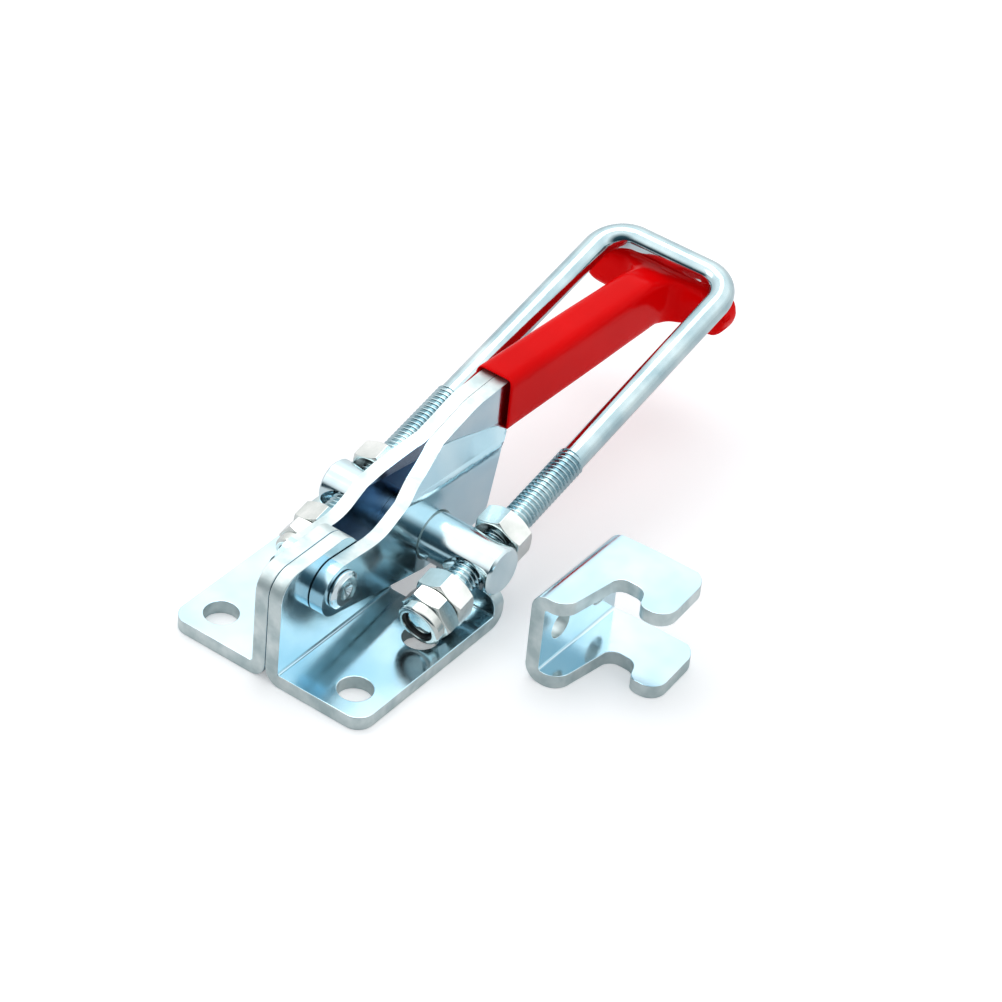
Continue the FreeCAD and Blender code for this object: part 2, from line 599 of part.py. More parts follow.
def catch_plate():
    """Channel with a rounded lobe and a hook on each flange and two holes through its back."""
    front = CATCH_FRONT_X
    rear = front + CATCH_LENGTH
    back = CATCH_BACK_Y
    edge = back - CATCH_DEPTH
    outer_bend = SHEET + BEND_RADIUS
    channel = front_prism([
        (back, 0, outer_bend),
        (back, CATCH_HEIGHT, outer_bend),
        (edge, CATCH_HEIGHT, 0),
        (edge, CATCH_HEIGHT - SHEET, 0),
        (back - SHEET, CATCH_HEIGHT - SHEET, BEND_RADIUS),
        (back - SHEET, SHEET, BEND_RADIUS),
        (edge, SHEET, 0),
        (edge, 0, 0),
    ], front, rear)
    lobe_y = back - CATCH_LOBE_DEPTH
    notch_x = front + CATCH_NOTCH_DEPTH
    notch_top_y = lobe_y - CATCH_NOTCH_SLOPE
    notch_low_y = notch_top_y - CATCH_NOTCH_WIDTH
    hook_x = front + CATCH_HOOK_SETBACK
    plan = plan_prism([
        (front, back, 0),
        (front, lobe_y, CATCH_LOBE_RADIUS),
        (notch_x, notch_top_y, CATCH_NOTCH_RADIUS),
        (notch_x, notch_low_y, CATCH_NOTCH_RADIUS),
        (hook_x, edge + CATCH_HOOK_WIDTH, CATCH_HOOK_INNER_RADIUS),
        (hook_x, edge, CATCH_HOOK_OUTER_RADIUS),
        (rear + CATCH_TAPER, edge + CATCH_EDGE_TAPER, CATCH_CORNER_RADIUS),
        (rear - CATCH_TAPER, back, 0),
    ], 0, CATCH_HEIGHT)
    plate = channel.common(plan)
    middle = (front + rear) / 2
    for side in (-1, 1):
        x = middle + side * CATCH_HOLE_SPACING / 2
        height = CATCH_HEIGHT / 2
        plate = plate.cut(cylinder(CATCH_HOLE_DIAMETER, Vector(x, back - SHEET, height), Vector(x, back, height)))
    return plate.removeSplitter()


def build():
    """Every piece of the latch by name, in its place."""
    left_base = base_plate()
    left_handle = handle_plate()
    right_handle = mirrored(left_handle)
    pieces = {
        "left_base_plate": left_base,
        "right_base_plate": mirrored(left_base),
        "pivot_rivet": pivot_rivet(),
        "left_handle_plate": left_handle,
        "right_handle_plate": right_handle,
        "grip": grip((left_handle, right_handle)),
        "cross_pin": cross_pin(),
        "u_bolt": u_bolt(),
        "catch_plate": catch_plate(),
    }
    for name, side in (("left", 1), ("right", -1)):
        pieces[name + "_rear_nut"] = plain_nut(PIN_DIAMETER / 2, side)
        pieces[name + "_front_nut"] = plain_nut(FRONT_NUT_START, side)
        pieces[name + "_lock_nut"] = lock_nut(side)
        pieces[name + "_nylon_ring"] = nylon_ring(side)
    return pieces


def main():
    """Writes one STEP file per piece and prints its volume and box."""
    os.makedirs("parts", exist_ok=True)
    for name, shape in build().items():
        box = shape.BoundBox
        print(name, len(shape.Solids), shape.isValid(), round(shape.Volume, 1),
              [round(value, 2) for value in (box.XMin, box.XMax, box.YMin, box.YMax, box.ZMin, box.ZMax)])
        shape.exportStep("parts/" + name + ".step")


if __name__ == "__main__":
    main()
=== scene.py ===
import logging
import math
from dataclasses import dataclass, field
from enum import Enum

import bpy
from mathutils import Matrix, Vector
from mathutils.bvhtree import BVHTree


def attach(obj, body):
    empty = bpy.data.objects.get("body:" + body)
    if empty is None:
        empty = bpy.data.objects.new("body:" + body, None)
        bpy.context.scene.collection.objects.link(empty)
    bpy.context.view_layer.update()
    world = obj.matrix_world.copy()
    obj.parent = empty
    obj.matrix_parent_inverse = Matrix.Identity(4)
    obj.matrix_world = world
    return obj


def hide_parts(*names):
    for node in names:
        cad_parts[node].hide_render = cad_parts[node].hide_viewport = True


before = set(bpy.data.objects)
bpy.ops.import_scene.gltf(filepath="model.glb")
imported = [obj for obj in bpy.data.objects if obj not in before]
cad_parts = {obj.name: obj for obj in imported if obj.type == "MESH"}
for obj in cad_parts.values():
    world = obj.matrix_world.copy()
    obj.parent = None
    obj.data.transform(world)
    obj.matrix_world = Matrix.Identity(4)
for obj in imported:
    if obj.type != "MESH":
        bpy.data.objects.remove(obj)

LOG = logging.getLogger("toggle_latch")
MM = 0.001
MERGE_GAP = 0.002 * MM
FLAT_ANGLE = math.radians(0.4)
EDGE_ANGLE = math.radians(32)
SMOOTH_ANGLE = math.radians(45)
WHITE = (1.0, 1.0, 1.0, 1.0)
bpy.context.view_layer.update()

Triple = tuple[float, float, float]
Span = tuple[float, float]
Term = bpy.types.NodeSocket | float | tuple


class Body(Enum):
    """The rigid bodies that pieces ride on."""

    BASE = "base"
    HANDLE = "handle"
    LOOP = "u_bolt_loop"


class Grain(Enum):
    """How a metal surface was worked, as the stretch of its fine grain along X, Y and Z."""

    ROLLED = (1.0, 1.0, 1.0)
    TURNED = (0.02, 1.0, 0.02)
    SHEARED = (1.0, 0.06, 1.0)
    DRAWN = (0.08, 1.0, 1.0)


def rgba(colour: Triple) -> tuple[float, float, float, float]:
    """A colour with full opacity."""
    return (*colour, 1.0)


def only(piece: bpy.types.Object) -> None:
    """Leaves one piece selected and active."""
    bpy.ops.object.select_all(action="DESELECT")
    piece.select_set(True)
    bpy.context.view_layer.objects.active = piece


def edit_all() -> None:
    """Opens the active piece for editing with its whole mesh selected."""
    bpy.ops.object.mode_set(mode="EDIT")
    bpy.ops.mesh.select_all(action="SELECT")


def apply_modifiers(piece: bpy.types.Object) -> None:
    """Applies every modifier of a piece in order."""
    only(piece)
    for modifier in list(piece.modifiers):
        bpy.ops.object.modifier_apply(modifier=modifier.name)


def merged_mesh(node: str, name: str) -> bpy.types.Object:
    """A copy of a CAD node's mesh with its doubled points merged.

    Args:
        node: The CAD node's name.
        name: The new piece's name.

    Returns:
        The new piece without materials, at the origin as the node is.
    """
    piece = bpy.data.objects.new(name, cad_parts[node].data.copy())
    bpy.context.scene.collection.objects.link(piece)
    piece.data.materials.clear()
    only(piece)
    edit_all()
    bpy.ops.mesh.remove_doubles(threshold=MERGE_GAP)
    bpy.ops.object.mode_set(mode="OBJECT")
    return piece


def merge_flats(piece: bpy.types.Object) -> None:
    """Merges the triangles of each flat face into one face."""
    only(piece)
    edit_all()
    bpy.ops.mesh.dissolve_limited(angle_limit=FLAT_ANGLE, delimit={"MATERIAL"})
    bpy.ops.object.mode_set(mode="OBJECT")


def round_edges(piece: bpy.types.Object, width: float) -> None:
    """Rounds a piece's sharp edges and keeps its flats flat.

    Args:
        piece: The piece to round.
        width: The rounding's width in metres.
    """
    only(piece)
    bpy.ops.object.shade_smooth()
    bevel = piece.modifiers.new("edge_round", "BEVEL")
    bevel.width = width
    bevel.segments = 3
    bevel.limit_method = "ANGLE"
    bevel.angle_limit = EDGE_ANGLE
    bevel.use_clamp_overlap = True
    bevel.miter_outer = "MITER_ARC"
    apply_modifiers(piece)
    bpy.ops.object.shade_smooth_by_angle(angle=SMOOTH_ANGLE)
    weighted = piece.modifiers.new("flat_shading", "WEIGHTED_NORMAL")
    weighted.keep_sharp = True
    weighted.weight = 100
    apply_modifiers(piece)


def finish_piece(piece: bpy.types.Object, body: Body) -> None:
    """Gives a piece the body that it rides on."""
    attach(piece, body.value)


class NodeSheet:
    """A helper that adds shader nodes in rows and feeds their sockets."""

    COLUMN_WIDTH = 180
    ROW_DROP = -40
    ROWS = 5

    def __init__(self, tree: bpy.types.NodeTree) -> None:
        self.tree = tree
        self.count = 0

    def feed(self, socket: bpy.types.NodeSocket, term: Term) -> None:
        """Links an input to an output, or sets it to a constant."""
        if isinstance(term, bpy.types.NodeSocket):
            self.tree.links.new(term, socket)
        else:
            socket.default_value = term

    def add(self, kind: str, inputs: dict[str | int, Term] | None = None, **values: object) -> bpy.types.Node:
        """Adds a node.

        Args:
            kind: The node's type name.
            inputs: What feeds each input socket, by the socket's name or number.
            values: The properties to set on the node.

        Returns:
            The new node.
        """
        node = self.tree.nodes.new(kind)
        node.location = (self.COLUMN_WIDTH * self.count, self.ROW_DROP * (self.count % self.ROWS))
        self.count += 1
        for key, value in values.items():
            setattr(node, key, value)
        for key, term in (inputs or {}).items():
            self.feed(node.inputs[key], term)
        return node

    def calculate(self, operation: str, *terms: Term) -> bpy.types.NodeSocket:
        """The result of an operation on sockets or numbers."""
        return self.add("ShaderNodeMath", dict(enumerate(terms)), operation=operation).outputs["Value"]

    def fade(self, value: Term, span: Span, to: tuple[Term, Term] = (0.0, 1.0),
             kind: str = "LINEAR") -> bpy.types.NodeSocket:
        """Turns one span of a value into another and stops at its ends.

        Args:
            value: The value that drives the fade.
            span: The value where the fade starts and where it ends.
            to: The result at the start and at the end.
            kind: The interpolation between them.

        Returns:
            The result's socket.
        """
        inputs = {"Value": value, "From Min": span[0], "From Max": span[1], "To Min": to[0], "To Max": to[1]}
        node = self.add("ShaderNodeMapRange", inputs, clamp=True, interpolation_type=kind)
        return node.outputs["Result"]

    def blend(self, factor: Term, first: Term, second: Term) -> bpy.types.NodeSocket:
        """A colour that goes from the first to the second; sockets 6, 7 and 2 are the node's colour ones."""
        node = self.add("ShaderNodeMix", {"Factor": factor, 6: first, 7: second}, data_type="RGBA")
        return node.outputs[2]


class SurfaceGroups:
    """Shader node groups that several finishes share."""

    CLOUD_SPAN = (0.35, 0.68)
    SPECKLE_SCALE = 900.0
    SPECKLE_SPAN = (0.0, 0.6)

    def __init__(self) -> None:
        self.clouds = self.make_clouds()
        self.grain = self.make_grain()

    @staticmethod
    def sheet(name: str, inputs: dict[str, str], outputs: dict[str, str]) -> tuple[NodeSheet, dict, dict]:
        """Starts a group with named sockets.

        Args:
            name: The group's name.
            inputs: Socket type by input name.
            outputs: Socket type by output name.

        Returns:
            The group's node sheet, the sockets of its input node and the sockets of its output node by name.
        """
        tree = bpy.data.node_groups.new(name, "ShaderNodeTree")
        for label, kind in inputs.items():
            tree.interface.new_socket(name=label, in_out="INPUT", socket_type=f"NodeSocket{kind}")
        for label, kind in outputs.items():
            tree.interface.new_socket(name=label, in_out="OUTPUT", socket_type=f"NodeSocket{kind}")
        nodes = NodeSheet(tree)
        source = nodes.add("NodeGroupInput")
        target = nodes.add("NodeGroupOutput")
        return nodes, dict(source.outputs.items()), dict(target.inputs.items())

    def make_clouds(self) -> bpy.types.NodeTree:
        """Soft mottling between two colours, with a roughness that follows it."""
        nodes, given, made = self.sheet(
            "plating_clouds",
            {"Place": "Vector", "Tint": "Color", "Shade": "Color", "Scale": "Float",
             "Roughness Low": "Float", "Roughness High": "Float"},
            {"Colour": "Color", "Roughness": "Float"},
        )
        broad = nodes.add("ShaderNodeTexNoise", {"Vector": given["Place"], "Scale": given["Scale"],
                                                 "Detail": 3.0})
        cover = nodes.fade(broad.outputs["Fac"], self.CLOUD_SPAN)
        nodes.feed(made["Colour"], nodes.blend(cover, given["Shade"], given["Tint"]))
        fine = nodes.add("ShaderNodeTexNoise", {"Vector": given["Place"], "Scale": self.SPECKLE_SCALE,
                                                "Detail": 2.0})
        speckle = nodes.calculate("MULTIPLY", cover, fine.outputs["Fac"])
        rough = nodes.fade(speckle, self.SPECKLE_SPAN, (given["Roughness High"], given["Roughness Low"]))
        nodes.feed(made["Roughness"], rough)
        return nodes.tree

    def make_grain(self) -> bpy.types.NodeTree:
        """Fine height that is stretched along the way a surface was worked."""
        nodes, given, made = self.sheet(
            "worked_grain",
            {"Place": "Vector", "Stretch": "Vector", "Scale": "Float"},
            {"Height": "Float"},
        )
        squeeze = nodes.add("ShaderNodeVectorMath", {0: given["Place"], 1: given["Stretch"]},
                            operation="MULTIPLY")
        noise = nodes.add("ShaderNodeTexNoise", {"Vector": squeeze.outputs["Vector"], "Scale": given["Scale"],
                                                 "Detail": 4.0, "Roughness": 0.6})
        nodes.feed(made["Height"], noise.outputs["Fac"])
        return nodes.tree


@dataclass(frozen=True)
class Finish:
    """A procedural surface: mottled colour and roughness over a worked grain."""

    name: str
    tint: Triple
    shade: Triple
    roughness: Span
    cloud_scale: float
    grain: Grain
    grain_scale: float
    bump: float
    bump_height: float = 0.05 * MM
    metal: float = 1.0
    specular: float = 0.5

    def make(self, groups: SurfaceGroups) -> bpy.types.Material:
        """Builds the material.

        Args:
            groups: The shared node groups.

        Returns:
            The new material.
        """
        material = bpy.data.materials.new(self.name)
        material.use_nodes = True
        material.node_tree.nodes.clear()
        nodes = NodeSheet(material.node_tree)
        place = nodes.add("ShaderNodeTexCoord").outputs["Object"]
        clouds = nodes.add("ShaderNodeGroup", {
            "Place": place, "Tint": rgba(self.tint), "Shade": rgba(self.shade), "Scale": self.cloud_scale,
            "Roughness Low": self.roughness[0], "Roughness High": self.roughness[1],
        }, node_tree=groups.clouds)
        grain = nodes.add("ShaderNodeGroup", {
            "Place": place, "Stretch": self.grain.value, "Scale": self.grain_scale,
        }, node_tree=groups.grain)
        bump = nodes.add("ShaderNodeBump", {"Strength": self.bump, "Distance": self.bump_height,
                                            "Height": grain.outputs["Height"]})
        shader = nodes.add("ShaderNodeBsdfPrincipled", {
            "Metallic": self.metal, "Specular IOR Level": self.specular, "Base Color": clouds.outputs["Colour"],
            "Roughness": clouds.outputs["Roughness"], "Normal": bump.outputs["Normal"],
        })
        nodes.add("ShaderNodeOutputMaterial", {"Surface": shader.outputs["BSDF"]})
        return material


@dataclass(frozen=True)
class Finishes:
    """Every finish of the latch, built once."""

    sheet: bpy.types.Material
    cut: bpy.types.Material
    inner: bpy.types.Material
    turned: bpy.types.Material
    drawn: bpy.types.Material
    nut: bpy.types.Material
    nylon: bpy.types.Material
    vinyl: bpy.types.Material

    @classmethod
    def build(cls, groups: SurfaceGroups) -> "Finishes":
        """Makes the finishes from the shared groups."""
        return cls(
            sheet=Finish("zinc_plated_sheet", (0.70, 0.86, 0.92), (0.50, 0.73, 0.84), (0.10, 0.20), 60.0,
                         Grain.ROLLED, 1400.0, 0.05).make(groups),
            cut=Finish("zinc_plated_cut_edge", (0.72, 0.79, 0.79), (0.50, 0.60, 0.61), (0.36, 0.52), 240.0,
                       Grain.SHEARED, 1800.0, 0.30, bump_height=0.10 * MM).make(groups),
            # Painted shade: a darker blue for the handle plates' faces towards each other, standing in for the
            # shade in the gap between them.
            inner=Finish("painted_shade_inner_face", (0.22, 0.36, 0.50), (0.13, 0.24, 0.38), (0.14, 0.26), 60.0,
                         Grain.ROLLED, 1400.0, 0.05).make(groups),
            turned=Finish("zinc_plated_pin", (0.78, 0.88, 0.90), (0.58, 0.72, 0.77), (0.10, 0.18), 90.0,
                          Grain.TURNED, 2600.0, 0.12).make(groups),
            drawn=Finish("zinc_plated_rod", (0.62, 0.74, 0.76), (0.36, 0.50, 0.55), (0.06, 0.14), 110.0,
                         Grain.DRAWN, 1600.0, 0.16, bump_height=0.06 * MM).make(groups),
            nut=Finish("zinc_plated_nut", (0.80, 0.82, 0.80), (0.58, 0.62, 0.60), (0.10, 0.20), 160.0,
                       Grain.ROLLED, 2200.0, 0.10).make(groups),
            nylon=Finish("black_nylon", (0.014, 0.014, 0.016), (0.006, 0.006, 0.007), (0.35, 0.55), 300.0,
                         Grain.ROLLED, 3000.0, 0.20, metal=0.0).make(groups),
            vinyl=Finish("dipped_vinyl", (0.90, 0.001, 0.002), (0.78, 0.001, 0.002), (0.14, 0.24), 45.0,
                         Grain.ROLLED, 160.0, 0.05, bump_height=0.25 * MM, metal=0.0,
                         specular=0.04).make(groups),
        )


@dataclass
class SheetMetal:
    """A plate of bent and punched sheet, with polished faces and rougher cut edges; a handle plate's faces
    towards the other plate can get a darker blue as painted shade.
    """

    node: str
    name: str
    body: Body
    thickness: float = 3.0 * MM
    edge_round: float = 0.22 * MM
    shade_side: float = 0.0
    shade_front: float = 0.0

    def mark_faces(self, piece: bpy.types.Object) -> None:
        """Marks cut edges, which have more metal behind them than the sheet's thickness, and the faces towards
        the other plate, which get painted shade.
        """
        probe_depth = 0.01 * MM
        deepest_sheet = 1.08 * self.thickness
        mesh = piece.data
        tree = BVHTree.FromPolygons([vertex.co for vertex in mesh.vertices],
                                    [tuple(face.vertices) for face in mesh.polygons])
        for polygon in mesh.polygons:
            start = polygon.center - polygon.normal * probe_depth
            depth = tree.ray_cast(start, -polygon.normal)[3]
            is_sheet = depth is not None and depth < deepest_sheet
            # Faces that look towards the other plate get the darker painted shade of the gap.
            is_shaded_inner = polygon.center.x > self.shade_front and polygon.normal.y * self.shade_side > 0.5
            polygon.material_index = (2 if is_shaded_inner else 0) if is_sheet else 1

    def build(self, finishes: Finishes) -> bpy.types.Object:
        """Copies, rounds and dresses the plate.

        Args:
            finishes: The latch's finishes.

        Returns:
            The plate.
        """
        piece = merged_mesh(self.node, self.name)
        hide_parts(self.node)
        piece.data.materials.append(finishes.sheet)
        piece.data.materials.append(finishes.cut)
        # Handle plates get a third slot: the painted shade for their faces towards the other plate.
        if self.shade_side:
            piece.data.materials.append(finishes.inner)
        self.mark_faces(piece)
        merge_flats(piece)
        round_edges(piece, self.edge_round)
        finish_piece(piece, self.body)
        return piece


@dataclass
class Fastener:
    """A turned or pressed piece with rounded edges: the rivet, the pin, the nuts and their rings."""

    node: str
    name: str
    body: Body
    slot: str
    edge_round: float

    def build(self, finish: bpy.types.Material) -> bpy.types.Object:
        """Copies, rounds and dresses the piece.

        Args:
            finish: The piece's material.

        Returns:
            The piece.
        """
        piece = merged_mesh(self.node, self.name)
        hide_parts(self.node)
        piece.data.materials.append(finish)
        merge_flats(piece)
        round_edges(piece, self.edge_round)
        finish_piece(piece, self.body)
        return piece


@dataclass
class UBolt:
    """Bent rod with rolled threads, modelled along its own legs and then tipped to its place.

    The tooth is one pitch of the thread's outline, as steps along the pitch and up the thread's depth.
    """

    pin_centre: Vector = field(default_factory=lambda: Vector((25.3, -2.45, 13.05)) * MM)
    tilt: float = math.radians(14.4)
    leg_spacing: float = 29.507 * MM
    rod: float = 5.26 * MM
    rod_sides: int = 48
    thread: float = 6.0 * MM
    root: float = 4.8 * MM
    pitch: float = 1.0 * MM
    reach: float = 84.6 * MM
    turn: float = 6.5 * MM
    turn_steps: int = 20
    thread_end: float = 29.5 * MM
    thread_start: float = -18.45 * MM
    rod_in_thread: float = 0.6 * MM
    thread_sides: int = 20
    spare_turns: int = 3
    smooth_angle: float = math.radians(50)
    tooth: tuple[Span, ...] = ((0.14, 0.0), (0.13, 0.30), (0.12, 0.62), (0.11, 0.08), (0.12, -0.08),
                               (0.12, -0.62), (0.13, -0.30), (0.13, 0.0))

    @staticmethod
    def extrude(x: float, y: float, z: float) -> None:
        """Extrudes what is selected along the world's axes."""
        bpy.ops.mesh.extrude_region_move(TRANSFORM_OT_translate={"orient_type": "GLOBAL", "value": (x, y, z)})

    def place(self, piece: bpy.types.Object) -> None:
        """Tips a piece built with the pin at the origin and the legs along X, and sets it on the pin."""
        only(piece)
        bpy.ops.object.transform_apply(location=True, rotation=True, scale=True)
        piece.matrix_world = Matrix.Translation(self.pin_centre) @ Matrix.Rotation(-self.tilt, 4, "Y")
        bpy.ops.object.transform_apply(location=True, rotation=True, scale=True)

    def bent_rod(self) -> bpy.types.Object:
        """The smooth rod: a circle extruded along one leg, spun round the corners and back."""
        half = self.leg_spacing / 2
        start = self.thread_end - self.rod_in_thread
        corner_x = self.reach - self.turn
        corner_y = half - self.turn
        bpy.ops.mesh.primitive_circle_add(vertices=self.rod_sides, radius=self.rod / 2, fill_type="NGON",
                                          location=(start, -half, 0), rotation=(0, math.pi / 2, 0))
        piece = bpy.context.active_object
        piece.name = "u_bolt_rod"
        edit_all()
        for side, run in ((-1, (corner_x - start, 0, 0)), (1, (0, 2 * corner_y, 0))):
            self.extrude(*run)
            bpy.ops.mesh.spin(steps=self.turn_steps, angle=math.pi / 2,
                              center=(corner_x, side * corner_y, 0), axis=(0, 0, -1))
        self.extrude(start - corner_x, 0, 0)
        bpy.ops.mesh.select_all(action="SELECT")
        bpy.ops.mesh.remove_doubles(threshold=MERGE_GAP)
        bpy.ops.mesh.normals_make_consistent(inside=False)
        bpy.ops.object.mode_set(mode="OBJECT")
        return piece

    def threaded_leg(self, side: int) -> bpy.types.Object:
        """One leg's rolled thread: a tooth's outline screwed along the leg and cut square at both ends.

        Args:
            side: -1 for the right leg, 1 for the left leg.

        Returns:
            The thread.
        """
        depth = (self.thread - self.root) / 2
        bpy.ops.mesh.primitive_plane_add(size=0.1 * MM, location=(0, 0, 0))
        piece = bpy.context.active_object
        piece.name = "u_bolt_thread"
        edit_all()
        bpy.ops.mesh.merge(type="CENTER")
        bpy.ops.transform.translate(value=(0, 0, self.root / 2))
        for along, rise in self.tooth:
            self.extrude(along * self.pitch, 0, rise * depth)
        bpy.ops.object.mode_set(mode="OBJECT")
        screw = piece.modifiers.new("thread", "SCREW")
        screw.axis = "X"
        screw.screw_offset = self.pitch
        screw.iterations = int((self.thread_end - self.thread_start) / self.pitch) + self.spare_turns
        screw.steps = screw.render_steps = self.thread_sides
        screw.use_merge_vertices = True
        screw.merge_threshold = MERGE_GAP
        apply_modifiers(piece)
        edit_all()
        bpy.ops.mesh.remove_doubles(threshold=MERGE_GAP)
        bpy.ops.transform.translate(value=(self.thread_start - self.spare_turns / 2 * self.pitch, 0, 0))
        for x, outward in ((self.thread_start, -1), (self.thread_end, 1)):
            bpy.ops.mesh.select_all(action="SELECT")
            bpy.ops.mesh.bisect(plane_co=(x, 0, 0), plane_no=(outward, 0, 0), use_fill=True,
                                clear_outer=True, threshold=0.001 * MM)
        bpy.ops.mesh.select_all(action="SELECT")
        bpy.ops.mesh.normals_make_consistent(inside=False)
        bpy.ops.transform.translate(value=(0, side * self.leg_spacing / 2, 0))
        bpy.ops.object.mode_set(mode="OBJECT")
        return piece

    def build(self, finishes: Finishes) -> bpy.types.Object:
        """Builds the U-bolt in its place.

        Args:
            finishes: The latch's finishes.

        Returns:
            The U-bolt, its two threads joined to it.
        """
        bpy.ops.object.select_all(action="DESELECT")
        rod = self.bent_rod()
        threads = []
        for side in (-1, 1):
            bpy.ops.object.select_all(action="DESELECT")
            threads.append(self.threaded_leg(side))
        only(rod)
        for thread in threads:
            thread.select_set(True)
        bpy.ops.object.join()
        rod.name = "u_bolt_bent_rod"
        rod.data.materials.append(finishes.drawn)
        self.place(rod)
        bpy.ops.object.shade_smooth_by_angle(angle=self.smooth_angle)
        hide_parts("u_bolt")
        finish_piece(rod, Body.LOOP)
        return rod


@dataclass
class Grip:
    """Dipped vinyl sleeve: the CAD sleeve melted into one soft skin, softest where the dip pooled."""

    voxel: float = 0.36 * MM
    passes: int = 14
    soft_passes: int = 44
    mouth_end: float = 53.0 * MM
    core_lead: float = 0.2 * MM
    core_growth: float = 0.15 * MM
    soft_start: float = 80.0 * MM
    soft_full: float = 92.0 * MM

    def fill(self, sleeve: bpy.types.Object) -> None:
        """Joins the plates' inner parts to the sleeve, so that it melts into one solid behind its mouth.

        Args:
            sleeve: The sleeve's merged copy.
        """
        for side in ("left", "right"):
            core = merged_mesh(f"{side}_handle_plate", f"{side}_core")
            edit_all()
            bpy.ops.mesh.bisect(plane_co=(self.mouth_end - self.core_lead, 0, 0), plane_no=(-1, 0, 0),
                                use_fill=True, clear_outer=True, threshold=0.0005 * MM)
            bpy.ops.object.mode_set(mode="OBJECT")
            grow = core.modifiers.new("grow", "DISPLACE")
            grow.mid_level = 0.0
            grow.strength = self.core_growth
            apply_modifiers(core)
            only(sleeve)
            core.select_set(True)
            bpy.ops.object.join()

    def build(self, finishes: Finishes) -> bpy.types.Object:
        """Melts and dresses the sleeve.

        Args:
            finishes: The latch's finishes.

        Returns:
            The sleeve.
        """
        piece = merged_mesh("grip", "grip_dipped_sleeve")
        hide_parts("grip")
        self.fill(piece)
        only(piece)
        piece.data.remesh_voxel_size = self.voxel
        piece.data.remesh_voxel_adaptivity = 0.0
        bpy.ops.object.voxel_remesh()
        pool = piece.vertex_groups.new(name="pooled_end")
        for vertex in piece.data.vertices:
            reach = (vertex.co.x - self.soft_start) / (self.soft_full - self.soft_start)
            pool.add([vertex.index], min(1.0, max(0.0, reach)), "REPLACE")
        for passes, group in ((self.passes, ""), (self.soft_passes, pool.name)):
            smooth = piece.modifiers.new("dipped_skin", "SMOOTH")
            smooth.factor = 0.5
            smooth.iterations = passes
            smooth.vertex_group = group
        apply_modifiers(piece)
        bpy.ops.object.shade_smooth()
        piece.data.materials.clear()
        piece.data.materials.append(finishes.vinyl)
        finish_piece(piece, Body.HANDLE)
        return piece


@dataclass(frozen=True)
class Softbox:
    """A rectangular studio lamp that looks at one point."""

    name: str
    place: Triple
    look_at: Triple
    size: Span
    brightness: float

    def build(self) -> None:
        """Adds the lamp; its brightness is what a mirror shows of it."""
        data = bpy.data.lights.new(self.name, "AREA")
        data.shape = "RECTANGLE"
        data.size, data.size_y = self.size
        data.energy = self.brightness * math.pi * self.size[0] * self.size[1]
        lamp = bpy.data.objects.new(self.name, data)
        bpy.context.scene.collection.objects.link(lamp)
        lamp.location = self.place
        aim = Vector(self.look_at) - Vector(self.place)
        lamp.rotation_euler = aim.to_track_quat("-Z", "Y").to_euler()


